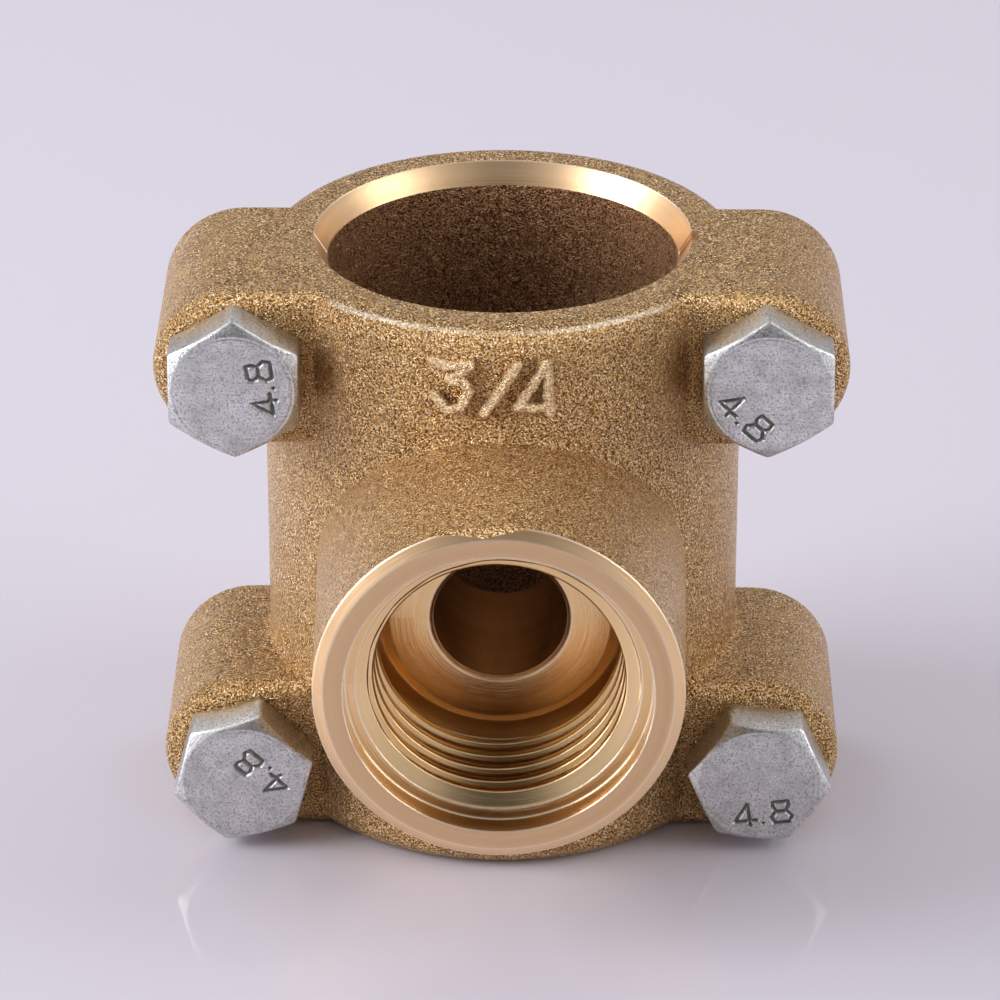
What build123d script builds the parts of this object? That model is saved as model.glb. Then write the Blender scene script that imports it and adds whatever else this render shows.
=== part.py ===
from build123d import *

import os
from math import cos, radians, sqrt, tan

# Split saddle tee: two cast halves bolted round a pipe, with a threaded branch on the front half.
# The pipe runs along Z, the branch points along -Y, and their axes cross at the origin.
# All sizes are in millimetres.

# pipe passage and body
pipe_diameter = 26.9
body_height = 46.0
side_wall = 5.0
front_wall = 4.45
rear_wall = 4.85
parting_gap = 0.1
body_edge_radius = 2.2
lead_in_width = 1.05
lead_in_depth = 1.7

# bolts, one above the other on each side
bolt_radius = 2.95
bolt_length = 20.0
bolt_end_chamfer = 0.7
head_across_flats = 9.8
head_height = 3.75
head_chamfer_angle = 30.0
head_face_share = 0.94  # the flat face's diameter over the width across flats
head_wall_clearance = 0.2
bolt_hole_clearance = 0.35
tapped_hole_clearance = 0.05

# ears that carry the bolts; their depths are from the parting plane
ear_height = 12.6
ear_set_back = 0.15  # from the body's ends
front_ear_depth = 11.3
rear_ear_depth = 6.2
ear_edge_radius = 1.2
ear_root_radius = 0.6

# branch: its outside, then its inside from the open end inwards
branch_draft = 1.2
branch_root_radius = 0.3
rim_width = 2.3
rim_edge_width = 0.8
rim_edge_depth = 0.5
counterbore_step = 0.92
counterbore_depth = 1.85
thread_major_radius = 10.48
thread_length = 8.35
undercut_step = 0.5
undercut_length = 3.0
seat_width = 3.3
seat_height = 1.0
seat_slope = 0.85  # how much wider the seat's foot is than its face
floor_wall = 5.05
outlet_radius = 5.1
outlet_edge = 0.25

# rubber ring round the outlet, pressed flush with the pipe passage
seal_land = 1.0
seal_width = 2.2
seal_depth = 1.6
seal_clearance = 0.1

# each bolt's side, level and the turn of its head from corner-up, clockwise from the front
bolt_places = {
    "bolt_upper_left": (-1, 1, 0.0),
    "bolt_upper_right": (1, 1, -0.5),
    "bolt_lower_left": (-1, -1, 14.7),
    "bolt_lower_right": (1, -1, 35.5),
}

bore_radius = pipe_diameter / 2
half_height = body_height / 2
half_gap = parting_gap / 2
half_width = bore_radius + side_wall
front_reach = bore_radius + front_wall
rear_reach = bore_radius + rear_wall

# where the front wall, an arc through both sides and the foremost point, meets the bolt seats
front_arc_radius = (half_width**2 + front_reach**2) / (2 * front_reach)
front_arc_offset = front_arc_radius - front_reach
seat_wall_x = sqrt(front_arc_radius**2 - (front_ear_depth + front_arc_offset) ** 2)

head_corner_radius = head_across_flats / 2 / cos(radians(30))
head_face_radius = head_across_flats / 2 * head_face_share
head_corner_drop = (head_corner_radius - head_face_radius) * tan(radians(head_chamfer_angle))
bolt_x = seat_wall_x + head_corner_radius + head_wall_clearance
bolt_z = half_height - ear_set_back - ear_height / 2
ear_span = 2 * bolt_x + ear_height

# distances of the branch's steps from the pipe axis
floor_reach = bore_radius + floor_wall
seat_reach = floor_reach + seat_height
thread_end_reach = floor_reach + undercut_length
thread_start_reach = thread_end_reach + thread_length
branch_reach = thread_start_reach + counterbore_depth
branch_radius = thread_major_radius + counterbore_step + rim_width

seal_inner_radius = outlet_radius + seal_land
seal_outer_radius = seal_inner_radius + seal_width


def body_outline(reach, side):
    """Half of the body's section: an arc through both sides, closed along the parting plane."""
    with BuildSketch(Plane.XY) as outline:
        with BuildLine():
            ThreePointArc((-half_width, 0), (0, side * reach), (half_width, 0))
            Line((half_width, 0), (-half_width, 0))
        make_face()
    return outline.sketch


def passage_section():
    """Half section of the pipe passage, with a turned lead-in at both ends."""
    lip_radius = bore_radius + lead_in_width
    wall_end = half_height - lead_in_depth
    with BuildSketch(Plane.XZ) as section:
        Polygon(
            (0, -half_height),
            (lip_radius, -half_height),
            (bore_radius, -wall_end),
            (bore_radius, wall_end),
            (lip_radius, half_height),
            (0, half_height),
            align=None,
        )
    return section.sketch


def ear_bars(depth, side):
    """Round-ended bars, above and below: their ends stand out of the body as ears."""
    with BuildPart() as bars:
        with BuildSketch(Plane.XZ.offset(-side * half_gap)):
            with Locations((0, -bolt_z), (0, bolt_z)):
                SlotOverall(ear_span, ear_height)
        extrude(amount=-side * (depth - half_gap))
        outer_faces = bars.faces().filter_by(Axis.Y).group_by(Axis((0, 0, 0), (0, side, 0)))[-1]
        fillet(outer_faces.edges(), ear_edge_radius)
    return bars.part


def branch_boss():
    """The branch's outside: a drafted round boss with a turned edge at its open end."""
    root_radius = branch_radius + branch_reach * tan(radians(branch_draft))
    with BuildPart() as boss:
        with BuildSketch(Plane.XY):
            Polygon(
                (0, -half_gap),
                (root_radius, -half_gap),
                (branch_radius, rim_edge_depth - branch_reach),
                (branch_radius - rim_edge_width, -branch_reach),
                (0, -branch_reach),
                align=None,
            )
        revolve(axis=Axis.Y)
    return boss.part


def branch_inside():
    """What is turned out of the branch, from the pipe axis to its open end."""
    undercut_radius = thread_major_radius + undercut_step
    counterbore_radius = thread_major_radius + counterbore_step
    seat_radius = outlet_radius + seat_width
    with BuildPart() as inside:
        with BuildSketch(Plane.XY):
            Polygon(
                (0, 0),
                (outlet_radius, 0),
                (outlet_radius, outlet_edge - seat_reach),
                (outlet_radius + outlet_edge, -seat_reach),
                (seat_radius, -seat_reach),
                (seat_radius + seat_slope, -floor_reach),
                (undercut_radius, -floor_reach),
                (undercut_radius, -thread_end_reach),
                (thread_major_radius, -thread_end_reach),
                (thread_major_radius, -thread_start_reach),
                (counterbore_radius, -thread_start_reach),
                (counterbore_radius, -branch_reach),
                (0, -branch_reach),
                align=None,
            )
        revolve(axis=Axis.Y)
    return inside.part


def outlet_ring(inner_radius, outer_radius, depth):
    """A ring round the outlet, from the passage's wall to a depth that follows its curve."""
    with BuildPart() as ring:
        with BuildSketch(Plane.XZ):
            Circle(outer_radius)
            Circle(inner_radius, mode=Mode.SUBTRACT)
        extrude(amount=bore_radius + depth)
        Cylinder(bore_radius + depth, 2 * outer_radius, mode=Mode.INTERSECT)
        Cylinder(bore_radius, 2 * outer_radius, mode=Mode.SUBTRACT)
    return ring.part


def bolt_holes(radius, depth, side):
    """Four round bars along the bolt axes, from the parting plane out past the ears."""
    with BuildPart() as holes:
        with BuildSketch(Plane.XZ):
            with GridLocations(2 * bolt_x, 2 * bolt_z, 2, 2):
                Circle(radius)
        extrude(amount=-side * depth)
    return holes.part


with BuildPart() as front_saddle:
    extrude(body_outline(front_reach, -1), amount=half_height, both=True)
    split(bisect_by=Plane.XZ.offset(half_gap), keep=Keep.TOP)
    outer_wall = front_saddle.faces().filter_by(GeomType.CYLINDER)
    fillet(outer_wall.edges().filter_by(GeomType.CIRCLE), body_edge_radius)
    add(ear_bars(front_ear_depth, -1))
    ear_roots = front_saddle.edges().filter_by(
        lambda edge: edge.geom_type == GeomType.LINE and abs(abs(edge.center().X) - seat_wall_x) < 0.01
    )
    fillet(ear_roots, ear_root_radius)
    add(branch_boss())
    branch_root = front_saddle.edges().filter_by(GeomType.BSPLINE).sort_by(SortBy.LENGTH)[-1]
    fillet(branch_root, branch_root_radius)
    revolve(passage_section(), axis=Axis.Z, mode=Mode.SUBTRACT)
    add(branch_inside(), mode=Mode.SUBTRACT)
    add(outlet_ring(seal_inner_radius, seal_outer_radius, seal_depth), mode=Mode.SUBTRACT)
    add(bolt_holes(bolt_radius + bolt_hole_clearance, front_ear_depth, -1), mode=Mode.SUBTRACT)

with BuildPart() as rear_strap:
    extrude(body_outline(rear_reach, 1), amount=half_height, both=True)
    split(bisect_by=Plane.XZ.offset(-half_gap), keep=Keep.BOTTOM)
    outer_wall = rear_strap.faces().filter_by(GeomType.CYLINDER)
    fillet(outer_wall.edges().filter_by(GeomType.CIRCLE), body_edge_radius)
    add(ear_bars(rear_ear_depth, 1))
    revolve(passage_section(), axis=Axis.Z, mode=Mode.SUBTRACT)
    # the drill runs on past the ears and grazes the wall behind them
    add(bolt_holes(bolt_radius + tapped_hole_clearance, rear_reach, 1), mode=Mode.SUBTRACT)

with BuildPart() as outlet_seal:
    add(
        outlet_ring(
            seal_inner_radius + seal_clearance,
            seal_outer_radius - seal_clearance,
            seal_depth - seal_clearance,
        )
    )


def hex_bolt(side, level, turn):
    """A hex-head bolt, seated on its ear's front face and pointing to the rear."""
    seat_point = (side * bolt_x, -front_ear_depth, level * bolt_z)
    seat_plane = Plane(origin=seat_point, x_dir=(1, 0, 0), z_dir=(0, -1, 0))
    section_plane = Plane(origin=seat_point, x_dir=(1, 0, 0), z_dir=(0, 0, -1))
    with BuildPart() as bolt:
        with BuildSketch(seat_plane):
            RegularPolygon(head_corner_radius, 6, rotation=30 - turn)
        extrude(amount=head_height)
        with BuildSketch(section_plane):
            Polygon(
                (0, 0),
                (head_corner_radius, 0),
                (head_corner_radius, head_height - head_corner_drop),
                (head_face_radius, head_height),
                (0, head_height),
                align=None,
            )
        revolve(axis=Axis(seat_point, (0, 1, 0)), mode=Mode.INTERSECT)
        with BuildSketch(seat_plane):
            Circle(bolt_radius)
        extrude(amount=-bolt_length)
        chamfer(bolt.faces().sort_by(Axis.Y)[-1].edges(), bolt_end_chamfer)
    return bolt.part


os.makedirs("parts", exist_ok=True)

front_saddle.part.label = "front_saddle"
export_step(front_saddle.part, "parts/front_saddle.step")

rear_strap.part.label = "rear_strap"
export_step(rear_strap.part, "parts/rear_strap.step")

outlet_seal.part.label = "outlet_seal"
export_step(outlet_seal.part, "parts/outlet_seal.step")

for name, (side, level, turn) in bolt_places.items():
    bolt = hex_bolt(side, level, turn)
    bolt.label = name
    export_step(bolt, f"parts/{name}.step")
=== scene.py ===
import math

import bpy
import numpy as np
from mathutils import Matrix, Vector


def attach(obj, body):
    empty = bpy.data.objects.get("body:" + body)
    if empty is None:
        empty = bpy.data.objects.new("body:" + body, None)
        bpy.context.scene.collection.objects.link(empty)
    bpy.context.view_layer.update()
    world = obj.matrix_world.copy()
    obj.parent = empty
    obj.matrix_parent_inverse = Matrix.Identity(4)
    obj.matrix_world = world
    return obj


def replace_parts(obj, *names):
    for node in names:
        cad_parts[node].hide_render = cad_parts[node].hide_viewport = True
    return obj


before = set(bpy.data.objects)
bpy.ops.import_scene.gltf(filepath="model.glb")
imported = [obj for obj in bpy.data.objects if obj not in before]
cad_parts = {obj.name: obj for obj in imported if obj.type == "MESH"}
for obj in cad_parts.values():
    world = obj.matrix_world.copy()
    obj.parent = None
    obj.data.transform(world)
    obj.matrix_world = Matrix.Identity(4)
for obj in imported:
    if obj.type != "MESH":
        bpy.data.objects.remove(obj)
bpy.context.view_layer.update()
mm = 0.001
print("frame loaded:", sorted(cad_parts))


# Quads between neighbouring points of a rows x cols grid, numbered row by row.
# Ringed columns run round and meet, and so do looped rows.
def gridQuads(rows, cols, ringed=False, looped=False):
    index = np.arange(rows * cols).reshape(rows, cols)
    if ringed:
        index = np.concatenate([index, index[:, :1]], axis=1)
    if looped:
        index = np.concatenate([index, index[:1]])
    corners = [index[:-1, :-1], index[:-1, 1:], index[1:, 1:], index[1:, :-1]]
    return np.stack(corners, axis=-1).reshape(-1, 4)


# Enclosed volume: the sum over quads of mean corner . (diagonal x diagonal) / 6. It is positive where the
# faces point outwards.
def enclosedVolume(points, quads):
    a, b, c, d = (points[quads[:, k]] for k in range(4))
    return np.einsum("ij,ij->", a + b + c + d, np.cross(c - a, d - b)) / 24


# Puts points (in millimetres) and quads, with a few wider faces at most, into a smooth mesh that rides on the
# one body. Quads that enclose a negative volume are turned over first.
def putPiece(name, points, quads, material, widerFaces=()):
    if enclosedVolume(points, quads) < 0:
        quads = quads[:, ::-1]
        widerFaces = [face[::-1] for face in widerFaces]
    corners = np.concatenate([quads.ravel(), *[np.asarray(face) for face in widerFaces]]).astype(np.int32)
    counts = np.concatenate([np.full(len(quads), 4), [len(face) for face in widerFaces]]).astype(np.int32)
    mesh = bpy.data.meshes.new(name)
    mesh.vertices.add(len(points))
    mesh.vertices.foreach_set("co", (points * mm).astype(np.float32).ravel())
    mesh.loops.add(len(corners))
    mesh.loops.foreach_set("vertex_index", corners)
    mesh.polygons.add(len(counts))
    mesh.polygons.foreach_set("loop_start", np.concatenate([[0], np.cumsum(counts)[:-1]]).astype(np.int32))
    mesh.polygons.foreach_set("use_smooth", np.ones(len(counts), bool))
    mesh.update(calc_edges=True)
    mesh.validate()
    mesh.materials.append(material)
    piece = bpy.data.objects.new(name, mesh)
    bpy.context.scene.collection.objects.link(piece)
    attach(piece, "root")
    print(name, len(points), "points,", len(counts), "faces")
    return piece


# Least distance from each point of the plane to a set of strokes, each a chain of straight pieces.
def strokeDistance(x, y, strokes):
    least = np.full(np.shape(x), 1e9)
    for chain in strokes:
        for (x0, y0), (x1, y1) in zip(chain[:-1], chain[1:]):
            dx, dy = x1 - x0, y1 - y0
            along = np.clip(((x - x0) * dx + (y - y0) * dy) / (dx * dx + dy * dy + 1e-9), 0, 1)
            least = np.minimum(least, np.hypot(x - x0 - along * dx, y - y0 - along * dy))
    return least


# Smooth step: 0 below 0, 1 above 1, and 3t^2 - 2t^3 between.
def easeStep(t):
    t = np.clip(t, 0, 1)
    return t * t * (3 - 2 * t)


# Points of rings round the branch axis: (r cos a, -reach, r sin a), where the reach is from the pipe axis.
def branchRings(radius, reach, angle):
    x, y, z = np.broadcast_arrays(radius * np.cos(angle), -reach, radius * np.sin(angle))
    return np.stack([x, y, z], axis=-1).reshape(-1, 3)


# Adds a shader node, sets its properties, and gives each named input a value or a link.
def addNode(tree, kind, inputs=None, **settings):
    node = tree.nodes.new(kind)
    node.location = (180 * (len(tree.nodes) % 12), -260 * (len(tree.nodes) // 12))
    for key, value in settings.items():
        setattr(node, key, value)
    for key, value in (inputs or {}).items():
        if isinstance(value, bpy.types.NodeSocket):
            tree.links.new(value, node.inputs[key])
        else:
            node.inputs[key].default_value = value
    return node


# One sum, difference, comparison or other operation of the Math node, on one or two values.
def calc(tree, operation, *values):
    return addNode(tree, "ShaderNodeMath", dict(enumerate(values)), operation=operation).outputs[0]


# Product of two or more values.
def product(tree, first, *others):
    for other in others:
        first = calc(tree, "MULTIPLY", first, other)
    return first


# How far a value lies from a middle, either side: |value - middle|.
def apart(tree, value, middle):
    return calc(tree, "ABSOLUTE", calc(tree, "SUBTRACT", value, middle))


# Length of a flat vector: the root of a^2 + b^2.
def flatLength(tree, a, b):
    return calc(tree, "SQRT", calc(tree, "ADD", product(tree, a, a), product(tree, b, b)))


# Remaps a value from one span to another, clamped, and by default to 0..1.
def remap(tree, value, low, high, toLow=0.0, toHigh=1.0):
    inputs = {"Value": value, "From Min": low, "From Max": high, "To Min": toLow, "To Max": toHigh}
    return addNode(tree, "ShaderNodeMapRange", inputs).outputs[0]


# Noise between 0 and 1; the scale is in lumps per metre.
def noise(tree, place, scale, detail=2.0, roughness=0.5):
    inputs = {"Vector": place, "Scale": scale, "Detail": detail, "Roughness": roughness}
    return addNode(tree, "ShaderNodeTexNoise", inputs).outputs["Fac"]


# Blend of two numbers: (1 - factor) a + factor b.
def mixValue(tree, factor, a, b):
    return addNode(tree, "ShaderNodeMix", {0: factor, 2: a, 3: b}, data_type="FLOAT").outputs[0]


# Blend of two colours: (1 - factor) a + factor b in each channel.
def mixColour(tree, factor, a, b):
    return addNode(tree, "ShaderNodeMix", {0: factor, 6: a, 7: b}, data_type="RGBA").outputs[2]


# Vector sum, scaling or other operation of the Vector Math node.
def vectorCalc(tree, operation, inputs):
    return addNode(tree, "ShaderNodeVectorMath", inputs, operation=operation).outputs


# Normal of a surface that a height raises by up to strength x distance along the normal given.
def bump(tree, height, distance, strength, normal=None):
    inputs = {"Height": height, "Distance": distance, "Strength": strength}
    if normal is not None:
        inputs["Normal"] = normal
    return addNode(tree, "ShaderNodeBump", inputs).outputs[0]


# A new node group with named inputs (name: kind, value) and outputs (name: kind), and its two end nodes.
def newGroup(name, inputs, outputs):
    group = bpy.data.node_groups.new(name, "ShaderNodeTree")
    for label, (kind, value) in inputs.items():
        socket = group.interface.new_socket(label, in_out="INPUT", socket_type="NodeSocket" + kind)
        if value is not None:
            socket.default_value = value
    for label, kind in outputs.items():
        group.interface.new_socket(label, in_out="OUTPUT", socket_type="NodeSocket" + kind)
    return group, group.nodes.new("NodeGroupInput").outputs, group.nodes.new("NodeGroupOutput").inputs


# Links each value to the group's output of that name.
def giveOut(group, result, outputs):
    for label, socket in outputs.items():
        group.links.new(socket, result[label])


# Places a node group in a tree, with its inputs as values or links, and gives its outputs.
def useGroup(tree, group, inputs):
    return addNode(tree, "ShaderNodeGroup", inputs, node_tree=group).outputs


# Grain: fine noise and packed cells, both at one grain size, give lumps: 0.7 noise + 0.3 (1 - distance in the
# cell). Pits is 0 where the fine noise is low, and the mottle is broad noise. A facet's tilt is its cell's
# random colour less one half.
def makeGrainGroup():
    group, given, result = newGroup(
        "grain",
        {"Vector": ("Vector", None), "Grain Size": ("Float", 0.0002)},
        {"Height": "Float", "Pits": "Float", "Mottle": "Float", "Facet": "Vector"},
    )
    place = given["Vector"]
    density = calc(group, "DIVIDE", 1.0, given["Grain Size"])
    fine = noise(group, place, density, 3.0, 0.6)
    broad = noise(group, place, product(group, density, 0.06), 4.0, 0.6)
    cellInputs = {"Vector": place, "Scale": product(group, density, 0.8)}
    cells = addNode(group, "ShaderNodeTexVoronoi", cellInputs).outputs
    lump = calc(group, "SUBTRACT", 1.0, cells["Distance"])
    giveOut(group, result, {
        "Height": calc(group, "ADD", product(group, fine, 0.7), product(group, lump, 0.3)),
        "Pits": remap(group, fine, 0.42, 0.54),
        "Mottle": remap(group, broad, 0.35, 0.65),
        "Facet": vectorCalc(group, "SUBTRACT", {0: cells["Color"], 1: (0.5, 0.5, 0.5)})[0],
    })
    return group


# Edge mask: 1 - (rounded normal . own normal), remapped. The rounded normal is averaged over a small radius.
def makeEdgeGroup():
    group, given, result = newGroup(
        "edgeWearAndHighlight",
        {"Radius": ("Float", 0.0003), "Low": ("Float", 0.002), "High": ("Float", 0.05)},
        {"Edge": "Float", "Normal": "Vector"},
    )
    rounded = addNode(group, "ShaderNodeBevel", {"Radius": given["Radius"]}, samples=6).outputs[0]
    own = addNode(group, "ShaderNodeNewGeometry").outputs["Normal"]
    agreement = vectorCalc(group, "DOT_PRODUCT", {0: rounded, 1: own})["Value"]
    away = calc(group, "SUBTRACT", 1.0, agreement)
    giveOut(group, result, {"Edge": remap(group, away, given["Low"], given["High"]), "Normal": rounded})
    return group


# Tool lines: noise of (radius / line size, place along the axis / line size, 1.5 x turn), so that it streaks
# round the axis.
def makeToolLineGroup():
    group, given, result = newGroup(
        "toolLines",
        {"Radius": ("Float", 0.0), "Along": ("Float", 0.0), "Turn": ("Float", 0.0),
         "Line Size": ("Float", 0.0001)},
        {"Height": "Float", "Tone": "Float"},
    )
    density = calc(group, "DIVIDE", 1.0, given["Line Size"])
    place = addNode(group, "ShaderNodeCombineXYZ", {
        "X": product(group, given["Radius"], density),
        "Y": product(group, given["Along"], density),
        "Z": product(group, given["Turn"], 1.5),
    }).outputs[0]
    giveOut(group, result, {
        "Height": noise(group, place, 1.0, 3.0, 0.7),
        "Tone": remap(group, noise(group, place, 0.12), 0.3, 0.7),
    })
    return group


# Specks: small round spots where noise of one size runs above a level, which broader noise lowers in patches.
def makeSpeckGroup():
    group, given, result = newGroup(
        "specks",
        {"Vector": ("Vector", None), "Speck Size": ("Float", 0.0003), "Amount": ("Float", 0.5)},
        {"Specks": "Float", "Blotch": "Float"},
    )
    density = calc(group, "DIVIDE", 1.0, given["Speck Size"])
    spots = noise(group, given["Vector"], density, 1.0)
    patches = noise(group, given["Vector"], product(group, density, 0.12), 5.0, 0.65)
    blotch = remap(group, patches, 0.35, 0.65)
    level = calc(group, "SUBTRACT", 0.80, product(group, blotch, given["Amount"], 0.3))
    over = calc(group, "SUBTRACT", spots, level)
    giveOut(group, result, {"Specks": remap(group, over, -0.03, 0.03), "Blotch": blotch})
    return group


turnedPlaces = {  # metres; starts are distances out along the branch from the pipe axis
    "Rim Radius": 0.01372,
    "Rim Start": 0.03118,
    "Branch Radius": 0.0125,
    "Branch Start": 0.0184,
    "Outlet Radius": 0.0054,
    "Lead In Level": 0.02131,
    "Lead In Radius": 0.01451,
    "Bore Radius": 0.0136,
}
smallPlaces = {  # metres and radians
    "raggedScale": 450.0,  # the lumps per metre that make every cut line wander
    "raggedSize": 0.0011,
    "rimShort": (1.66, 0.26, 0.0030),  # the rim's short place: turn, half its spread, depth per radian
    "insideRadius": 0.01145,
    "outletStart": 0.0125,
    "counterboreRadius": 0.01143,
    "counterboreStart": 0.02995,
    "counterboreEnd": 0.03160,
    "lowestTurn": -1.5,
    "patchMiddle": (0.0129, 0.0168),  # a smooth patch beside each upper bolt: sideways and up
    "patchSize": (0.0015, 0.0040),
    "patchStart": 0.008,
    "wallOffset": 0.00056,  # the front wall's axis, behind the pipe's
    "topLevel": 0.0222,
    "lipRadius": 0.01762,
    "lipFade": (0.0132, 0.0118),  # sideways: where the lip's painted highlight is gone, and where it is whole
    "nickY": -0.0003,
    "nickX": (0.0130, 0.0150),
    "nickLevel": 0.0215,
}


# Place masks for the two castings. Turned round the branch is where the distance from its axis, the root of
# x^2 + z^2, is under a radius and far enough out. Turned round the pipe is where the root of x^2 + y^2 is
# under a radius, near an end. The small places are remapped distances from a line or a middle.
def makeZoneGroup(turned, small):
    group, given, result = newGroup(
        "turnedZones",
        {"Vector": ("Vector", None), **{label: ("Float", value) for label, value in turned.items()}},
        dict.fromkeys(("Branch", "Inside", "Counterbore", "Smooth", "Lip Highlight", "Nick", "Flat", "Lead In", "Bore",
                       "Wall Distance", "Branch Distance", "Branch Turn", "Along Branch",
                       "Pipe Distance", "Pipe Turn", "Along Pipe"), "Float"),
    )

    # 1 where the value is under the limit
    def below(value, limit):
        return calc(group, "LESS_THAN", value, limit)

    # 1 where the value is over the limit
    def above(value, limit):
        return calc(group, "GREATER_THAN", value, limit)

    x, y, z = addNode(group, "ShaderNodeSeparateXYZ", {0: given["Vector"]}).outputs
    out = product(group, y, -1.0)
    sideways = calc(group, "ABSOLUTE", x)
    branchDistance, pipeDistance = flatLength(group, x, z), flatLength(group, x, y)
    branchTurn = calc(group, "ARCTAN2", z, x)
    wavy = noise(group, given["Vector"], small["raggedScale"], 4.0)
    ragged = product(group, calc(group, "SUBTRACT", wavy, 0.5), small["raggedSize"])

    # the rim is turned out to its edge, but for one place at the top where the casting fell short of the cut
    shortTurn, shortSpread, shortDepth = small["rimShort"]
    short = calc(group, "SUBTRACT", shortSpread, apart(group, branchTurn, shortTurn))
    short = product(group, calc(group, "MAXIMUM", short, 0.0), shortDepth)
    rimEdge = calc(group, "SUBTRACT", given["Rim Radius"], short)
    rimEdge = calc(group, "ADD", rimEdge, product(group, ragged, product(group, short, 1100.0)))
    rimStart = calc(group, "ADD", given["Rim Start"], product(group, ragged, 0.12))
    onRim = product(group, below(branchDistance, rimEdge), above(out, rimStart))
    inBranch = below(branchDistance, given["Branch Radius"])
    inBranch = product(group, inBranch, above(out, given["Branch Start"]))
    inOutlet = below(branchDistance, given["Outlet Radius"])
    inOutlet = product(group, inOutlet, above(out, small["outletStart"]))

    # the counterbore's lowest part, which sees only the dark branch; its mask carries a painted dark
    # reflection
    lowest = remap(group, apart(group, branchTurn, small["lowestTurn"]), 1.25, 0.55)
    counterbore = product(
        group, lowest, above(out, small["counterboreStart"]), below(out, small["counterboreEnd"]),
        below(branchDistance, small["counterboreRadius"]),
    )

    # a smooth patch: 1 at its middle, 0 outside an upright ellipse
    patchX, patchZ = (
        calc(group, "DIVIDE", calc(group, "SUBTRACT", place, middle), size)
        for place, middle, size in zip((sideways, z), small["patchMiddle"], small["patchSize"])
    )
    fromPatch = calc(group, "ADD", product(group, patchX, patchX), product(group, patchZ, patchZ))
    smooth = product(group, remap(group, fromPatch, 1.5, 0.0), above(out, small["patchStart"]))

    # the top face is level as far as the lip, which follows the front wall and carries a painted highlight
    # line
    onTop = above(z, small["topLevel"])
    wallDistance = flatLength(group, x, calc(group, "SUBTRACT", y, small["wallOffset"]))
    offLip = apart(group, wallDistance, calc(group, "ADD", small["lipRadius"], product(group, ragged, 0.18)))
    # the lip's painted highlight: strongest at the sides, fainter in the middle
    lipHighlight = product(group, remap(group, offLip, 0.00024, 0.00010), onTop,
                  remap(group, sideways, *small["lipFade"]), remap(group, sideways, 0.002, 0.008, 0.3, 1.0))
    insideLip = remap(group, wallDistance, small["lipRadius"] + 0.00006, small["lipRadius"] - 0.00017)
    flat = product(group, insideLip, onTop, remap(group, out, 0.0060, 0.0105))

    # painted shade of a nick in the lead-in where the halves meet, on the right at the top
    offNick = apart(group, calc(group, "ADD", y, product(group, ragged, 0.7)), small["nickY"])
    nick = product(group, remap(group, offNick, 0.0011, 0.0007), above(z, small["nickLevel"]),
                   above(x, small["nickX"][0]), below(x, small["nickX"][1]))

    giveOut(group, result, {
        "Branch": calc(group, "MAXIMUM", calc(group, "MAXIMUM", inBranch, onRim), inOutlet),
        "Inside": below(branchDistance, small["insideRadius"]),
        "Counterbore": counterbore, "Smooth": smooth, "Lip Highlight": lipHighlight, "Nick": nick, "Flat": flat,
        "Lead In": product(group, above(calc(group, "ABSOLUTE", z), given["Lead In Level"]),
                           below(pipeDistance, given["Lead In Radius"])),
        "Bore": below(pipeDistance, given["Bore Radius"]),
        "Wall Distance": wallDistance, "Branch Distance": branchDistance, "Branch Turn": branchTurn,
        "Along Branch": y, "Pipe Distance": pipeDistance, "Pipe Turn": calc(group, "ARCTAN2", y, x),
        "Along Pipe": z,
    })
    return group


grainGroup, edgeGroup, toolLineGroup = makeGrainGroup(), makeEdgeGroup(), makeToolLineGroup()
speckGroup, zoneGroup = makeSpeckGroup(), makeZoneGroup(turnedPlaces, smallPlaces)


# A new material with one Principled shader, and its place on the piece in Object coordinates.
def newMaterial(name):
    material = bpy.data.materials.new(name)
    material.use_nodes = True
    tree = material.node_tree
    tree.nodes.clear()
    output = tree.nodes.new("ShaderNodeOutputMaterial")
    shader = tree.nodes.new("ShaderNodeBsdfPrincipled")
    output.location, shader.location = (700, 500), (400, 500)
    tree.links.new(shader.outputs[0], output.inputs[0])
    place = addNode(tree, "ShaderNodeTexCoord").outputs["Object"]
    return material, tree, shader, place


castBrass = {
    "grainSize": 0.000145,
    "skinDark": (0.165, 0.082, 0.026, 1),
    "skin": (0.76, 0.455, 0.178, 1),
    "paintedGlint": (1.0, 0.87, 0.63, 1),
    "glintHeights": (0.55, 0.63),  # grain height at which the painted glints start and are full
    "smooth": (0.52, 0.31, 0.13, 1),
    "wearAndHighlightSkin": (1.0, 0.86, 0.64, 1),
    "wearAndHighlightFrom": 1.0,  # distance from the front wall's axis past which the skin takes wear with a painted highlight, for the mark only
    "boreDark": (0.11, 0.052, 0.024, 1),
    "bore": (0.52, 0.29, 0.145, 1),
    "turned": (0.82, 0.58, 0.34, 1),
    "turnedDark": (0.70, 0.46, 0.25, 1),
    "inside": (0.93, 0.68, 0.37, 1),
    "insideDark": (0.82, 0.53, 0.24, 1),
    "edge": (1.0, 0.90, 0.72, 1),
    # the thread's painted shade colour, in its grooves and along its lowest line
    "groove": (0.20, 0.10, 0.04, 1),
    # colour of the painted shade: the counterbore's dark reflection, the nick, and the thread's lowest line
    "paintedShade": (0.42, 0.20, 0.07, 1),
    "skinRoughness": 0.29,
    "turnedRoughness": 0.37,
    "insideRoughness": 0.20,
    "bumpDistance": 0.0003,
    "facetTilt": 0.6,
    "patchTint": 0.45,  # how much of its own colour a smooth patch takes
    "patchRelief": 0.45,  # how much of the grain's relief it keeps
    "edgeRadius": 0.00026,
    "lineSize": 0.00012,
    "threadLineSize": 0.00016,
    "lineDepth": 0.00002,
}


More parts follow.
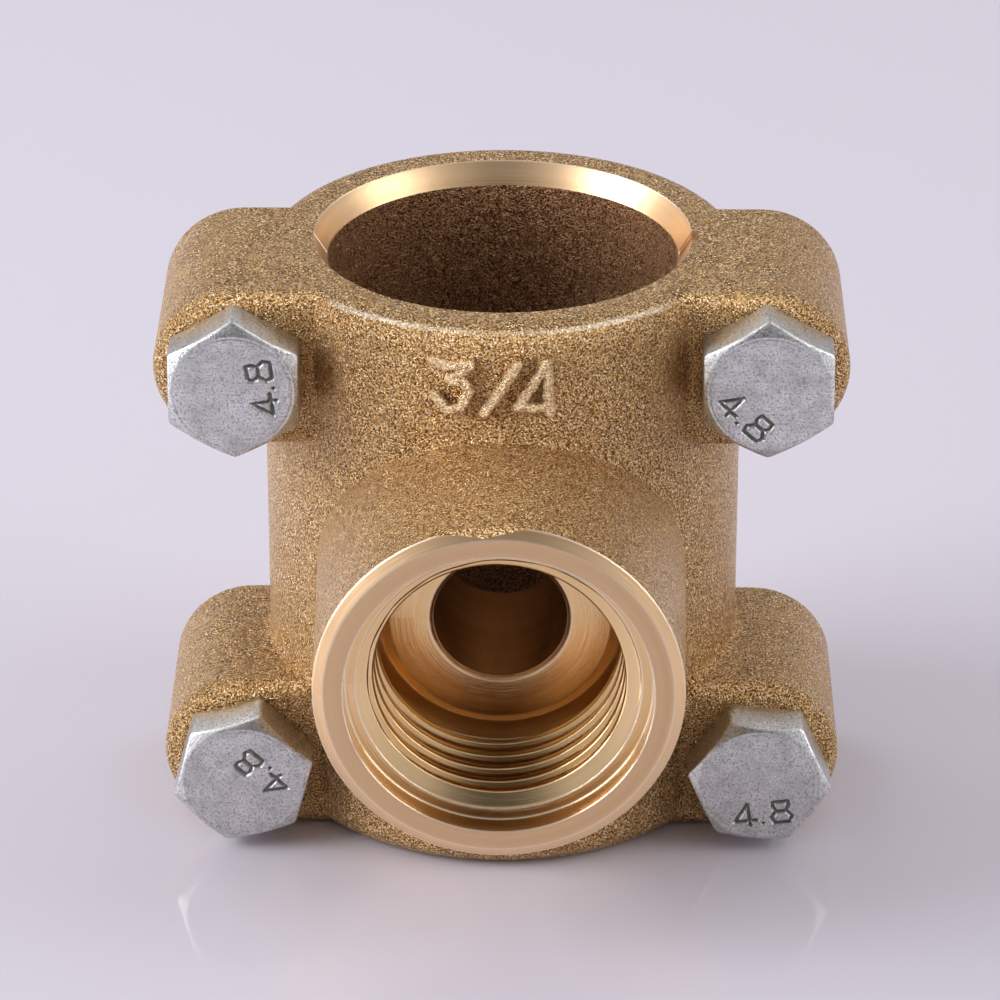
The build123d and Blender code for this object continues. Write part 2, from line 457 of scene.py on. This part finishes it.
# Cast skin everywhere, with turned metal where the zone masks say so. The colour is a chain of blends by
# mask. The normal takes the grain's relief x (1 - turned), then the facets, then tool lines x turned.
def makeCastBrass(name, look):
    material, tree, shader, place = newMaterial(name)
    zones = useGroup(tree, zoneGroup, {"Vector": place})
    grain = useGroup(tree, grainGroup, {"Vector": place, "Grain Size": look["grainSize"]})
    edge = useGroup(tree, edgeGroup, {"Radius": look["edgeRadius"]})
    branchLines, pipeLines = (
        useGroup(tree, toolLineGroup, {
            "Radius": zones[axis + " Distance"], "Along": zones["Along " + axis],
            "Turn": zones[axis + " Turn"], "Line Size": look["lineSize"],
        })
        for axis in ("Branch", "Pipe")
    )
    turned = calc(tree, "MAXIMUM", zones["Branch"], zones["Lead In"])
    inside = product(tree, zones["Inside"], zones["Branch"])

    # the skin: dark pits and painted glints on the tops, then the smooth patches, the lip's painted
    # highlight, the mark's wear with a painted highlight, and painted shade in the bore
    skin = mixColour(tree, grain["Pits"], look["skinDark"], look["skin"])
    # painted glints: the grain's high tops take a pale colour that stands in for sparkle
    skin = mixColour(tree, remap(tree, grain["Height"], *look["glintHeights"]), skin, look["paintedGlint"])
    skin = mixColour(tree, product(tree, zones["Smooth"], look["patchTint"]), skin, look["smooth"])
    # wear with a painted highlight: on the lip, and on the tops of the mark's raised strokes
    raised = remap(tree, zones["Wall Distance"], look["wearAndHighlightFrom"], look["wearAndHighlightFrom"] + 0.0002)
    wearAndHighlight = calc(tree, "MAXIMUM", zones["Lip Highlight"], raised)
    wearAndHighlight = product(tree, wearAndHighlight, remap(tree, grain["Height"], 0.36, 0.56, 0.25, 0.95))
    skin = mixColour(tree, wearAndHighlight, skin, look["wearAndHighlightSkin"])
    # painted shade in the bore: a darker colour inside it
    bore = mixColour(tree, grain["Pits"], look["boreDark"], look["bore"])
    skin = mixColour(tree, zones["Bore"], skin, bore)

    # the turned metal: streaks of two tones, a fine grain on the rim, a painted dark reflection in the
    # counterbore, and edges worn with a painted highlight
    tone = mixValue(tree, zones["Lead In"], branchLines["Tone"], pipeLines["Tone"])
    metal = mixColour(tree, tone, look["turnedDark"], look["turned"])
    pitted = product(tree, calc(tree, "SUBTRACT", 1.0, grain["Pits"]), 0.22)
    metal = mixColour(tree, pitted, metal, look["insideDark"])
    metal = mixColour(tree, inside, metal, mixColour(tree, tone, look["insideDark"], look["inside"]))
    # painted dark reflection in the counterbore's lowest part
    metal = mixColour(tree, product(tree, zones["Counterbore"], 0.85), metal, look["paintedShade"])
    # edges lightened: wear with a painted highlight
    metal = mixColour(tree, product(tree, edge["Edge"], 0.85), metal, look["edge"])
    casting = mixColour(tree, turned, skin, metal)
    # painted shade of the nick
    tree.links.new(mixColour(tree, zones["Nick"], casting, look["paintedShade"]), shader.inputs["Base Color"])

    shader.inputs["Metallic"].default_value = 1.0
    least, most = look["skinRoughness"] - 0.05, look["skinRoughness"] + 0.06
    skinRoughness = remap(tree, grain["Mottle"], 0, 1, least, most)
    turnedRoughness = remap(tree, inside, 0, 1, look["turnedRoughness"], look["insideRoughness"])
    tree.links.new(mixValue(tree, turned, skinRoughness, turnedRoughness), shader.inputs["Roughness"])

    # the normal: level on the top face, then grain and facets on the skin, then tool lines on the metal
    untouched = calc(tree, "SUBTRACT", 1.0, turned)
    rugged = product(tree, untouched, remap(tree, zones["Smooth"], 0, 1, 1.0, look["patchRelief"]))
    levelInputs = {0: product(tree, zones["Flat"], untouched), 4: edge["Normal"], 5: (0.0, 0.0, 1.0)}
    levelled = addNode(tree, "ShaderNodeMix", levelInputs, data_type="VECTOR").outputs[1]
    grainy = bump(tree, grain["Height"], look["bumpDistance"], rugged, levelled)
    tiltShare = product(tree, rugged, look["facetTilt"])
    tilt = vectorCalc(tree, "SCALE", {0: grain["Facet"], "Scale": tiltShare})[0]
    faceted = vectorCalc(tree, "NORMALIZE", {0: vectorCalc(tree, "ADD", {0: grainy, 1: tilt})[0]})[0]
    lines = mixValue(tree, zones["Lead In"], branchLines["Height"], pipeLines["Height"])
    lined = bump(tree, lines, look["lineDepth"], product(tree, turned, 0.8), faceted)
    tree.links.new(lined, shader.inputs["Normal"])
    return material


# Cut thread: bright turned metal, streaked round the branch axis. The painted shade's mask is on the thread x
# the greater of the grooves' mask (painted shade in the grooves) and the lowest line's (a painted dark
# reflection).
def makeThreadBrass(look):
    material, tree, shader, place = newMaterial("thread_brass")
    zones = useGroup(tree, zoneGroup, {"Vector": place})
    lines = useGroup(tree, toolLineGroup, {"Radius": zones["Branch Distance"], "Along": zones["Along Branch"],
                                           "Turn": zones["Branch Turn"], "Line Size": look["threadLineSize"]})
    edge = useGroup(tree, edgeGroup, {"Radius": 0.00015})
    metal = mixColour(tree, lines["Tone"], look["insideDark"], look["inside"])
    # edges lightened: wear with a painted highlight
    metal = mixColour(tree, product(tree, edge["Edge"], 0.7), metal, (1.0, 0.86, 0.66, 1))
    onThread = product(tree, calc(tree, "GREATER_THAN", zones["Branch Distance"], 0.0085),
                       remap(tree, zones["Along Branch"], -0.0293, -0.0289))
    # painted shade in the thread's grooves
    groove = product(tree, remap(tree, zones["Branch Distance"], 0.0099, 0.0103), 0.85)
    # a painted dark reflection along the thread's lowest line
    lowest = remap(tree, apart(tree, zones["Branch Turn"], -1.52), 0.42, 0.05)
    paintedShade = product(tree, lowest, remap(tree, lines["Height"], 0.40, 0.56, 0.3, 1.0), 0.45)
    paintedShadeMask = product(tree, onThread, calc(tree, "MAXIMUM", groove, paintedShade))
    tree.links.new(mixColour(tree, paintedShadeMask, metal, look["groove"]), shader.inputs["Base Color"])
    around = addNode(tree, "ShaderNodeTangent", direction_type="RADIAL", axis="Y").outputs[0]
    tree.links.new(around, shader.inputs["Tangent"])
    shader.inputs["Anisotropic"].default_value = 0.6
    shader.inputs["Metallic"].default_value = 1.0
    shader.inputs["Roughness"].default_value = 0.19
    relief = bump(tree, lines["Height"], look["lineDepth"], 0.6, edge["Normal"])
    tree.links.new(relief, shader.inputs["Normal"])
    return material


zincSteel = {
    "zinc": (0.85, 0.855, 0.835, 1),
    "zincDull": (0.63, 0.635, 0.62, 1),
    "edge": (0.90, 0.90, 0.89, 1),
    "speck": (0.20, 0.195, 0.18, 1),
    "strokeDarkening": (0.11, 0.105, 0.10, 1),
    "grainSize": 0.00016,
    "speckSize": 0.00016,
    "speckAmount": 0.55,
    "streakTurn": (0, 0.75, 0),
    "streakScale": (260, 260, 5200),  # per metre
    "roughness": 0.30,
}


# Zinc plate: a broad tone with streaks, fine mottling and dark specks, darkening in the stamped strokes, and
# worn edges with a painted highlight, each blended in by its mask. The streaks are noise squeezed far more
# along one slanted direction.
def makeZincSteel(look):
    material, tree, shader, place = newMaterial("zinc_steel")
    specks = useGroup(tree, speckGroup, {"Vector": place, "Speck Size": look["speckSize"],
                                         "Amount": look["speckAmount"]})
    edge = useGroup(tree, edgeGroup, {"Radius": 0.00012})
    grain = useGroup(tree, grainGroup, {"Vector": place, "Grain Size": look["grainSize"]})
    strokeDarkening = addNode(tree, "ShaderNodeAttribute", attribute_name="strokeDarkening").outputs["Fac"]
    slant = {"Vector": place, "Rotation": look["streakTurn"], "Scale": look["streakScale"]}
    slanted = addNode(tree, "ShaderNodeMapping", slant).outputs[0]
    streaks = noise(tree, slanted, 1.0, 3.0, 0.7)
    plate = mixColour(tree, specks["Blotch"], look["zinc"], look["zincDull"])
    plate = mixColour(tree, remap(tree, streaks, 0.54, 0.70, 0.0, 0.4), plate, look["speck"])
    plate = mixColour(tree, grain["Pits"], look["zincDull"], plate)
    plate = mixColour(tree, remap(tree, grain["Height"], 0.46, 0.40, 0.0, 0.5), plate, look["speck"])
    plate = mixColour(tree, product(tree, specks["Specks"], 0.8), plate, look["speck"])
    # edges lightened: wear with a painted highlight
    plate = mixColour(tree, product(tree, edge["Edge"], 0.5), plate, look["edge"])
    # darker in the stamped strokes, by how deep each point is stamped
    plate = mixColour(tree, product(tree, strokeDarkening, 0.85), plate, look["strokeDarkening"])
    tree.links.new(plate, shader.inputs["Base Color"])
    shader.inputs["Metallic"].default_value = 1.0
    rough = remap(tree, specks["Blotch"], 0, 1, look["roughness"] - 0.05, look["roughness"] + 0.12)
    tree.links.new(rough, shader.inputs["Roughness"])
    relief = bump(tree, grain["Height"], 0.00006, 0.7, edge["Normal"])
    tree.links.new(relief, shader.inputs["Normal"])
    return material


sealRubber = {
    "dark": (0.012, 0.012, 0.013, 1),
    "light": (0.028, 0.027, 0.026, 1),
    "roughness": (0.55, 0.72),
    "grainSize": 0.00025,
    "speckSize": 0.0004,
}


# Black rubber: two near-blacks and two dull finishes, blended by the same blotches, with a faint grain.
def makeSealRubber(look):
    material, tree, shader, place = newMaterial("seal_rubber")
    specks = useGroup(tree, speckGroup, {"Vector": place, "Speck Size": look["speckSize"], "Amount": 0.5})
    grain = useGroup(tree, grainGroup, {"Vector": place, "Grain Size": look["grainSize"]})
    rubber = mixColour(tree, specks["Blotch"], look["dark"], look["light"])
    tree.links.new(rubber, shader.inputs["Base Color"])
    tree.links.new(remap(tree, specks["Blotch"], 0, 1, *look["roughness"]), shader.inputs["Roughness"])
    tree.links.new(bump(tree, grain["Height"], 0.00004, 0.4), shader.inputs["Normal"])
    return material


# the mark's raised strokes take wear with a painted highlight
markBrass = {**castBrass, "wearAndHighlightFrom": 0.01872, "wearAndHighlightSkin": (0.98, 0.76, 0.47, 1)}
castMaterial, threadMaterial = makeCastBrass("cast_brass", castBrass), makeThreadBrass(castBrass)
markMaterial = makeCastBrass("mark_brass", markBrass)
zincMaterial, rubberMaterial = makeZincSteel(zincSteel), makeSealRubber(sealRubber)
for nodeName, material in {
    "front_saddle": castMaterial, "rear_strap": castMaterial, "outlet_seal": rubberMaterial,
}.items():
    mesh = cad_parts[nodeName].data
    if not mesh.materials:
        mesh.materials.append(material)
    for place in range(len(mesh.materials)):
        mesh.materials[place] = material
print("materials ready")


branchThread = {  # from here on in millimetres; starts and ends are distances from the pipe axis
    "wallRadius": 10.48,
    "crestRadius": 9.36,
    "pitch": 1.814,
    "start": 29.82,
    "end": 21.53,
    "firstCrest": 29.4,  # at the branch's lowest line
    "crestShare": 0.26,  # of the way from crest to groove: the level crest, then the flank
    "flankShare": 0.70,
    "taper": 1 / 32,
    "entryDepth": 0.5,
    "hide": 0.12,  # how far the sleeve's back is sunk into the wall
    "turnSteps": 288,
    "rows": 132,
}


# A sleeve round -Y whose inner radius rises and falls with place / pitch - angle, so that its ridges form one
# helix. The ridge is a rounded triangle, and a steep cone opens its mouth.
def makeBranchThread(spec):
    wall, start = spec["wallRadius"], spec["start"]
    angle = np.linspace(0, 2 * np.pi, spec["turnSteps"], endpoint=False)
    reach = np.linspace(start, spec["end"], spec["rows"])[:, None]
    fromLowest = (angle + np.pi / 2) / (2 * np.pi)
    turns = (spec["firstCrest"] - reach) / spec["pitch"] - fromLowest
    fromCrest = np.abs(turns - np.round(turns)) * 2  # 0 on a crest, 1 in a groove
    ridge = 1 - easeStep((fromCrest - spec["crestShare"]) / spec["flankShare"])
    crest = spec["crestRadius"] - (start - reach) * spec["taper"]
    radius = wall - (wall - crest) * ridge
    entry = np.clip((start - reach) / spec["entryDepth"], 0, 1)
    radius = np.maximum(radius, wall - (wall - crest) * entry)
    back = np.full((1, spec["turnSteps"]), wall + spec["hide"])
    radii = np.concatenate([back, radius, back])
    points = branchRings(radii, np.concatenate([reach[:1], reach, reach[-1:]]), angle)
    quads = gridQuads(len(radii), spec["turnSteps"], ringed=True, looped=True)
    return putPiece("branch_thread", points, quads, threadMaterial)


makeBranchThread(branchThread)


outletCollar = {
    "innerRadius": 5.06,
    "skinRadius": 5.15,  # a thin skin over the wall's own hole
    "outerRadius": 6.0,
    "start": 19.2,
    "shoulder": 14.3,
    "end": 5.5,
    "edgeCut": 0.25,
    "hold": 0.02,  # rows this close to a corner keep it crisp
    "turnSteps": 192,
}


# A closed ring of a stepped section turned round -Y: it carries the outlet's wall on into the pipe.
def makeOutletCollar(spec):
    inner, outer, skin = spec["innerRadius"], spec["outerRadius"], spec["skinRadius"]
    start, shoulder, end, cut, hold = (spec[key] for key in ("start", "shoulder", "end", "edgeCut", "hold"))
    section = np.array([
        (inner, start), (inner, start - hold), (inner, end + cut + hold), (inner, end + cut),
        (inner + cut, end), (inner + cut + hold, end), (outer - cut - hold, end), (outer - cut, end),
        (outer, end + cut), (outer, end + cut + hold), (outer, shoulder - hold), (outer, shoulder),
        (skin + hold, shoulder), (skin, shoulder), (skin, shoulder + hold),
        (skin, start - hold), (skin, start),
    ])
    angle = np.linspace(0, 2 * np.pi, spec["turnSteps"], endpoint=False)
    points = branchRings(section[:, :1], section[:, 1:], angle)
    quads = gridQuads(len(section), spec["turnSteps"], ringed=True, looped=True)
    return putPiece("outlet_collar", points, quads, threadMaterial)


makeOutletCollar(outletCollar)


sizeMark = {  # the raised pipe size on the front wall
    "wallRadius": 18.46,
    "wallOffset": 0.56,  # the wall's centre, behind the pipe axis
    "middle": (-0.6, 18.6),
    "span": (11.0, 6.2),
    "cell": 0.07,
    "rise": 0.55,
    "halfWidth": 0.46,
    "flank": (1.35, 0.7),  # in half widths: where the stroke's side ends, and how wide the side is
    "sink": 0.12,
    "thickness": 0.5,
    "three": [(-4.35, 1.85), (-3.4, 1.6), (-1.6, 1.75), (-2.3, 1.1), (-3.1, 0.5), (-2.1, 0.4), (-1.7, -0.5),
              (-2.3, -1.75), (-3.3, -2.0), (-4.2, -1.0)],
    "slash": [(1.85, 1.75), (-0.6, -2.15)],
    "four": [[(4.0, 1.85), (1.85, -1.65), (4.3, -1.75)], [(4.0, 1.85), (4.15, -2.15)]],
}


# A thin patch bent round the wall: arc length across and level up, raised along each stroke by 0.85 smooth
# step + 0.15 (1 - distance^2) of the distance to it. The strokes' edges wander by a sum of sines.
def makeSizeMark(spec):
    middleX, middleZ = spec["middle"]
    cols, rows = (int(side / spec["cell"]) for side in spec["span"])
    acrossGrid, upGrid = np.meshgrid(
        np.linspace(-spec["span"][0] / 2, spec["span"][0] / 2, cols),
        np.linspace(-spec["span"][1] / 2, spec["span"][1] / 2, rows),
    )
    strokes = [spec["three"], spec["slash"], *spec["four"]]
    wander = 0.07 * np.sin(4.1 * acrossGrid + 2.3 * upGrid)
    wander = wander + 0.06 * np.sin(7.3 * upGrid - 3.1 * acrossGrid + 1.0)
    distance = strokeDistance(acrossGrid - middleX, upGrid, strokes) / spec["halfWidth"] + wander
    flankEnd, flankWidth = spec["flank"]
    ridge = 0.85 * easeStep((flankEnd - distance) / flankWidth) + 0.15 * np.clip(1 - distance**2, 0, 1)
    ridge = (spec["rise"] + spec["sink"]) * ridge
    angle = acrossGrid / spec["wallRadius"]
    sheets = []
    for lift in (ridge - spec["sink"], np.full_like(ridge, -spec["sink"] - spec["thickness"])):
        radius = spec["wallRadius"] + lift
        x, y = radius * np.sin(angle), spec["wallOffset"] - radius * np.cos(angle)
        sheets.append(np.stack([x, y, upGrid + middleZ], axis=-1).reshape(-1, 3))
    quads = gridQuads(rows, cols)
    index = np.arange(rows * cols).reshape(rows, cols)
    rim = np.concatenate([index[0, :-1], index[:-1, -1], index[-1, :0:-1], index[:0:-1, 0]])
    after = np.roll(rim, -1)
    total = rows * cols
    sides = np.stack([rim + total, after + total, after, rim], axis=-1)
    faces = np.concatenate([quads, quads[:, ::-1] + total, sides])
    return putPiece("size_mark", np.concatenate(sheets), faces, markMaterial)


makeSizeMark(sizeMark)


bolts = {
    "apothem": 4.9,
    "headHeight": 3.75,
    "faceRadius": 4.6,
    "chamferAngle": 30.0,
    "edgeRound": 0.16,
    "cornerPower": 60,
    "seatReach": 11.3,
    "shankRadius": 2.95,
    "length": 20.0,
    "endChamfer": 0.7,
    "threadFrom": 15.6,  # along the shank, from under the head
    "threadPitch": 1.0,
    "threadDepth": 0.5,
    "threadFade": 0.8,
    "threadRows": 56,
    "sideSteps": 120,  # a quarter of the steps round the head
    "markDepth": 0.24,
    "markWidth": 0.15,
    "ringDepth": 0.05,
    "ringInset": (0.14, 0.26, 0.35),  # from the face's edge: ring's bottom, ring's inner edge, face's grid
    "places": {  # x, z, the head's turn clockwise from corner-up, seen from the front, its lean in x and z
        "bolt_upper_left": (-20.0, 16.55, 0.0, 0.0, 0.0),
        "bolt_upper_right": (20.0, 16.55, -0.5, 0.0, 0.15),
        "bolt_lower_left": (-20.0, -16.55, 14.7, 0.0, -0.28),
        "bolt_lower_right": (20.0, -16.55, 35.5, 0.05, -0.33),
    },
    "leanLength": 14.0,
    "marks": {  # the mark's angle, and its middle's place along and above it
        "bolt_upper_left": (99.0, 0.0, -2.2),
        "bolt_upper_right": (-44.0, 0.1, -2.6),
        "bolt_lower_left": (136.0, -0.6, -1.5),
        "bolt_lower_right": (7.5, 0.0, -2.6),
    },
    "four": [[(0.25, 0.95), (-0.85, -0.5), (0.9, -0.5)], [(0.25, 0.95), (0.3, -0.95)]],
    "point": [[(0, -0.85), (0.02, -0.85)]],
    "eight": [
        [(-0.55, 0.9), (0.55, 0.9), (0.62, 0.5), (0.4, 0.05), (-0.4, 0.05), (-0.62, 0.5), (-0.55, 0.9)],
        [(-0.4, 0.05), (-0.8, -0.45), (-0.65, -0.92), (0.65, -0.92), (0.8, -0.45), (0.4, 0.05)],
    ],
    "glyphPlaces": (-1.4, -0.1, 1.4),
}


# Rounds the corners of a chain of (radius, level) points: each corner becomes a curve between two cut points,
# (1 - t)^2 first + 2t(1 - t) corner + t^2 final.
def roundChain(chain, cut, steps=5):
    rows = [chain[0]]
    for before, corner, after in zip(chain[:-2], chain[1:-1], chain[2:]):
        towardBefore, towardAfter = before - corner, after - corner
        lengthBefore = np.linalg.norm(towardBefore, axis=-1, keepdims=True)
        lengthAfter = np.linalg.norm(towardAfter, axis=-1, keepdims=True)
        first = corner + towardBefore / lengthBefore * np.minimum(cut, lengthBefore * 0.45)
        final = corner + towardAfter / lengthAfter * np.minimum(cut, lengthAfter * 0.45)
        for t in np.linspace(0, 1, steps):
            rows.append((1 - t) ** 2 * first + 2 * t * (1 - t) * corner + t * t * final)
    return rows + [chain[-1]]


# The bolt's side as rings of (radius, level) over the angle: shank end, helical thread, seat, six sides, cone
# and the ring round the face. The hexagon's radius is the apothem over the root of the sum of the six side
# cosines' high powers, which eases its corners.
def boltRings(spec, angle):
    shankRadius, height, faceRadius = spec["shankRadius"], spec["headHeight"], spec["faceRadius"]
    ringBottom, ringInner, gridEdge = spec["ringInset"]
    sideCosines = np.clip(np.cos(angle[:, None] - np.radians(60 * np.arange(6))), 0, 1)
    hexRadius = spec["apothem"] / (sideCosines ** spec["cornerPower"]).sum(1) ** (1 / spec["cornerPower"])
    drop = np.maximum(hexRadius - faceRadius, 0.02) * math.tan(math.radians(spec["chamferAngle"]))

    # one ring, with a radius and a level that may each vary with the angle
    def ring(radius, level):
        return np.stack(np.broadcast_arrays(radius, level, angle)[:2], axis=-1)

    levels = -np.linspace(spec["length"] - 0.05, spec["threadFrom"], spec["threadRows"])
    rings = [ring(shankRadius - spec["endChamfer"] - 0.05, -spec["length"])]
    for level in levels:
        turns = level / spec["threadPitch"] - angle / (2 * np.pi)
        fromCrest = np.abs(turns - np.round(turns)) * 2
        fade = easeStep((-level - spec["threadFrom"]) / spec["threadFade"])
        depth = spec["threadDepth"] * easeStep((fromCrest - 0.15) / 0.8) * fade
        ending = max(0.0, spec["endChamfer"] - (spec["length"] + level))
        rings.append(ring(np.minimum(shankRadius - depth, shankRadius - ending), level))
    head = [
        ring(shankRadius, levels[-1] + 0.1), ring(shankRadius, 0.0), ring(hexRadius, 0.0),
        ring(hexRadius, height - drop), ring(faceRadius, height),
        ring(faceRadius - ringBottom, height - spec["ringDepth"]),
        ring(faceRadius - ringInner, height), ring(faceRadius - gridEdge, height),
    ]
    return np.stack(rings + roundChain(head, spec["edgeRound"]))


# How deep the grade mark is cut at each place of the face, 0..1: 1 - smooth step of the distance to a stroke.
# The face's x and y are turned by the mark's angle, and the three glyphs stand side by side along it.
def markGroove(spec, faceX, faceY, markAngle, markAlong, markAbove):
    turn = math.radians(markAngle)
    textX = faceX * math.cos(turn) + faceY * math.sin(turn) - markAlong
    textY = -faceX * math.sin(turn) + faceY * math.cos(turn) - markAbove
    glyphs = zip(("four", "point", "eight"), spec["glyphPlaces"])
    distances = [strokeDistance(textX - offset, textY, spec[glyph]) for glyph, offset in glyphs]
    distance = np.minimum.reduce(distances)
    return 1 - easeStep((distance - 0.3 * spec["markWidth"]) / spec["markWidth"])


# The bolt is one closed skin: its rings, a wide face on the shank's end, and a square grid drawn into the
# head's disc. The grid's point (u, v) goes to (u root(1 - v^2/2), v root(1 - u^2/2)) and is sunk by the mark.
# A leaning bolt's slices slide sideways by lean x (1 + level / length), so that its head stays flat.
def makeBolt(spec, name):
    centreX, centreZ, turn, leanX, leanZ = spec["places"][name]
    markAngle, markAlong, markAbove = spec["marks"][name]
    steps = 4 * spec["sideSteps"]
    angle = np.arange(steps) * 2 * np.pi / steps
    rings = boltRings(spec, angle)
    ringRadius, ringLevel = rings[..., 0], rings[..., 1]

    side = math.sqrt(2) * np.sin(np.radians(np.linspace(-45, 45, spec["sideSteps"] + 1)))
    u, v = np.meshgrid(side, side, indexing="ij")
    discX, discY = u * np.sqrt(1 - v * v / 2), v * np.sqrt(1 - u * u / 2)
    gridRadius = spec["faceRadius"] - spec["ringInset"][-1]
    groove = markGroove(spec, discX * gridRadius, discY * gridRadius, markAngle + turn, markAlong, markAbove)

    # the grid's own points follow the rings' points, and its border is the last ring
    inner = (slice(1, -1), slice(1, -1))
    innerSide = spec["sideSteps"] - 1
    border = np.ones(u.shape, bool)
    border[inner] = False
    faceIndex = np.zeros(u.shape, int)
    faceIndex[inner] = len(rings) * steps + np.arange(innerSide**2).reshape(innerSide, innerSide)
    borderStep = np.round(np.arctan2(discY, discX)[border] / (2 * np.pi) * steps).astype(int) % steps
    faceIndex[border] = (len(rings) - 1) * steps + borderStep
    faceCorners = [faceIndex[:-1, :-1], faceIndex[1:, :-1], faceIndex[1:, 1:], faceIndex[:-1, 1:]]
    faceQuads = np.stack(faceCorners, axis=-1).reshape(-1, 4)
    quads = np.concatenate([gridQuads(len(rings), steps, ringed=True), faceQuads])

    localX = np.concatenate([(ringRadius * np.cos(angle)).ravel(), discX[inner].ravel() * gridRadius])
    localY = np.concatenate([(ringRadius * np.sin(angle)).ravel(), discY[inner].ravel() * gridRadius])
    faceLevel = spec["headHeight"] - spec["markDepth"] * groove
    level = np.concatenate([ringLevel.ravel(), faceLevel[inner].ravel()])
    lean = np.clip(1 + level / spec["leanLength"], 0, 1)
    headTurn = math.radians(-turn)
    points = np.stack([
        centreX + leanX * lean + localX * math.cos(headTurn) - localY * math.sin(headTurn),
        -spec["seatReach"] - level,
        centreZ + leanZ * lean + localX * math.sin(headTurn) + localY * math.cos(headTurn),
    ], axis=-1)
    endFace = np.arange(steps)[::-1]
    piece = putPiece(name + "_zinc", points, quads, zincMaterial, widerFaces=[endFace])
    strokeDarkening = np.concatenate([np.zeros(ringLevel.size), groove[inner].ravel()]).astype(np.float32)
    piece.data.attributes.new("strokeDarkening", "FLOAT", "POINT").data.foreach_set("value", strokeDarkening)
    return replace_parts(piece, name)


for boltName in bolts["places"]:
    makeBolt(bolts, boltName)


studio = {
    "floorLevel": -23.0 * mm,
    "floorColour": (0.69, 0.655, 0.725, 1),
    "floorHalf": 3.0,
    "floorRoughness": 0.055,
    "worldColour": (0.97, 0.95, 1.0, 1),
    "worldStrength": 0.56,
    "darkSide": (0.0094, -0.893, 0.449),  # towards the viewer, where the tent is open
    "darkShare": 0.9,
    "dimSide": (0.0, 0.893, 0.449),  # behind, where the backdrop is dimmer
    "dimShare": 0.30,
    "darkCosines": (0.88, 0.975),  # where each falling-off starts and is full
    "dimCosines": (0.72, 0.93),
    "panels": {  # place, size, strength as radiance, colour; every panel faces the origin
        "topLeft": ((-0.40, 0.45, 0.62), (0.45, 0.16), 4.4, (1.0, 0.985, 1.0)),
        "topRight": ((0.40, 0.45, 0.62), (0.45, 0.16), 3.2, (1.0, 0.985, 1.0)),
        "left": ((-0.62, -0.12, 0.28), (0.45, 0.5), 6.6, (0.93, 0.945, 1.0)),
        "right": ((0.62, -0.12, 0.28), (0.4, 0.5), 2.8, (1.0, 0.985, 0.99)),
    },
}


# The turn that points an object's -Z from one place to another, with Y up.
def facing(place, aim):
    return (Vector(aim) - Vector(place)).to_track_quat("-Z", "Y").to_euler()


# A flat glossy square under the tee, its colour blended by soft noise with one a little darker.
def makeFloor(spec):
    material, tree, shader, place = newMaterial("floor_gloss")
    darker = tuple(0.985 * part for part in spec["floorColour"][:3]) + (1,)
    tone = mixColour(tree, noise(tree, place, 3.0), spec["floorColour"], darker)
    tree.links.new(tone, shader.inputs["Base Color"])
    shader.inputs["Roughness"].default_value = spec["floorRoughness"]
    shader.inputs["IOR"].default_value = 1.45
    half, level = spec["floorHalf"], spec["floorLevel"]
    corners = [(-half, -half, level), (half, -half, level), (half, half, level), (-half, half, level)]
    mesh = bpy.data.meshes.new("floor")
    mesh.from_pydata(corners, [], [(0, 1, 2, 3)])
    mesh.materials.append(material)
    floor = bpy.data.objects.new("floor", mesh)
    bpy.context.scene.collection.objects.link(floor)


# A panel's power is its radiance times pi times its area. The panels light the tee and aren't seen.
def makePanels(spec):
    for name, (place, size, radiance, colour) in spec["panels"].items():
        light = bpy.data.lights.new(name + "_panel", "AREA")
        light.shape = "RECTANGLE"
        light.size, light.size_y = size
        light.energy = radiance * math.pi * size[0] * size[1]
        light.color = colour
        panel = bpy.data.objects.new(name + "_panel", light)
        panel.location = place
        panel.visible_camera = False
        panel.rotation_euler = facing(place, (0, 0, 0))
        bpy.context.scene.collection.objects.link(panel)


# A plain tent of light: world strength x one factor for each of two directions. The factor falls from 1 to
# 1 - share as the cosine of the angle to the direction grows.
def makeWorld(spec):
    world = bpy.data.worlds.new("studio")
    world.use_nodes = True
    tree = world.node_tree
    direction = addNode(tree, "ShaderNodeTexCoord").outputs["Generated"]
    strength = spec["worldStrength"]
    for name in ("dark", "dim"):
        cosine = vectorCalc(tree, "DOT_PRODUCT", {0: direction, 1: spec[name + "Side"]})["Value"]
        factor = remap(tree, cosine, *spec[name + "Cosines"], 1.0, 1 - spec[name + "Share"])
        strength = product(tree, factor, strength)
    background = tree.nodes["Background"]
    background.inputs[0].default_value = spec["worldColour"]
    tree.links.new(strength, background.inputs[1])
    bpy.context.scene.world = world


viewpoint = {
    "place": (3.38 * mm, -359.53 * mm, 181.08 * mm),
    "aim": (-0.214 * mm, 0.0, 0.17 * mm),
    "lens": 184.3,
    "sensor": 36.0,
}


# A long lens that looks from the viewpoint's place to its aim.
def makeCamera(spec):
    data = bpy.data.cameras.new("camera")
    data.lens, data.sensor_width = spec["lens"], spec["sensor"]
    data.clip_start, data.clip_end = 0.01, 20.0
    camera = bpy.data.objects.new("camera", data)
    camera.location = spec["place"]
    camera.rotation_euler = facing(spec["place"], spec["aim"])
    bpy.context.scene.collection.objects.link(camera)
    bpy.context.scene.camera = camera


makeFloor(studio)
makePanels(studio)
makeWorld(studio)
makeCamera(viewpoint)
bpy.context.scene.view_settings.view_transform = "Standard"
print("stage ready")
